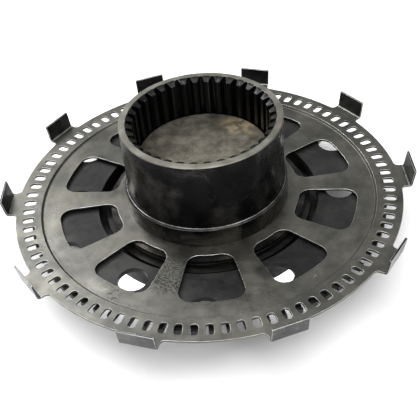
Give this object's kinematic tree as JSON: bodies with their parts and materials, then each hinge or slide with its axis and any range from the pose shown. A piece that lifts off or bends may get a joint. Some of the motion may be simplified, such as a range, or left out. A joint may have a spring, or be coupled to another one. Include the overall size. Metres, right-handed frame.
{
  "type": "planetary gear set",
  "caption": "Planetary gear set with a deep internally toothed drum on a slotted, windowed drive plate with bent tabs, over a planet carrier with a sun gear.",
  "frame": {"origin": "on the gear axis at the underside of the carrier hub, the lowest face", "axes": "+Z along the gear axis from the carrier hub towards the drum's rim; +X through the middle of a tab"},
  "size_m": [0.298, 0.2908, 0.1028],
  "materials": {
    "drum_steel": "satin",
    "plate_steel": "satin",
    "flange_steel": "matte",
    "gear_steel": "satin",
    "cover_steel": "matte",
    "bright_steel": "gloss",
    "bronze": "satin"
  },
  "bodies": {
    "carrier": {"race_lower": "gear_steel", "carrier_flange": "flange_steel", "carrier_dish": "flange_steel", "carrier_body": "flange_steel", "carrier_plate": "flange_steel", "carrier_cover": "cover_steel", "carrier_screws": "drum_steel", "planet_pins": "bright_steel", "planet_washers": "bronze", "sun_washers": "bronze", "hub_bush": "bronze", "nose_bush": "bronze"},
    "ring": {"ring_gear": "drum_steel", "drive_plate": "plate_steel", "slotted_band": "plate_steel", "band_tabs": "plate_steel", "collar_ring": "drum_steel", "seal_ring": "drum_steel", "guide_bush": "bronze", "race_upper": "gear_steel"},
    "thrust_bearing": {"bearing_cage": "bronze", "bearing_rollers": "bright_steel"},
    "sun": {"sun_gear": "gear_steel"},
    "planet_1": {"planet_gear_1": "gear_steel", "planet_bush_1": "bronze"},
    "planet_2": {"planet_gear_2": "gear_steel", "planet_bush_2": "bronze"},
    "planet_3": {"planet_gear_3": "gear_steel", "planet_bush_3": "bronze"},
    "planet_4": {"planet_gear_4": "gear_steel", "planet_bush_4": "bronze"}
  },
  "joints": [
    {"name": "ring_spin", "type": "hinge", "parent": "carrier", "child": "ring", "pos_m": [0, 0, 0.05], "axis": [0, 0, 1], "continuous": true},
    {"name": "bearing_spin", "type": "hinge", "parent": "carrier", "child": "thrust_bearing", "pos_m": [0, 0, 0.0255], "axis": [0, 0, 1], "continuous": true},
    {"name": "sun_spin", "type": "hinge", "parent": "carrier", "child": "sun", "pos_m": [0, 0, 0.05], "axis": [0, 0, 1], "continuous": true},
    {"name": "planet_spin_1", "type": "hinge", "parent": "carrier", "child": "planet_1", "pos_m": [0.03279, -0.00069, 0.05315], "axis": [0, 0, 1], "continuous": true},
    {"name": "planet_spin_2", "type": "hinge", "parent": "carrier", "child": "planet_2", "pos_m": [0.00069, 0.03279, 0.05315], "axis": [0, 0, 1], "continuous": true},
    {"name": "planet_spin_3", "type": "hinge", "parent": "carrier", "child": "planet_3", "pos_m": [-0.03279, 0.00069, 0.05315], "axis": [0, 0, 1], "continuous": true},
    {"name": "planet_spin_4", "type": "hinge", "parent": "carrier", "child": "planet_4", "pos_m": [-0.00069, -0.03279, 0.05315], "axis": [0, 0, 1], "continuous": true}
  ],
  "couplings": [
    {"joint": "bearing_spin", "follows": "ring_spin", "ratio": 0.5},
    {"joint": "sun_spin", "follows": "ring_spin", "ratio": -3},
    {"joint": "planet_spin_1", "follows": "ring_spin", "ratio": 3},
    {"joint": "planet_spin_2", "follows": "ring_spin", "ratio": 3},
    {"joint": "planet_spin_3", "follows": "ring_spin", "ratio": 3},
    {"joint": "planet_spin_4", "follows": "ring_spin", "ratio": 3}
  ]
}
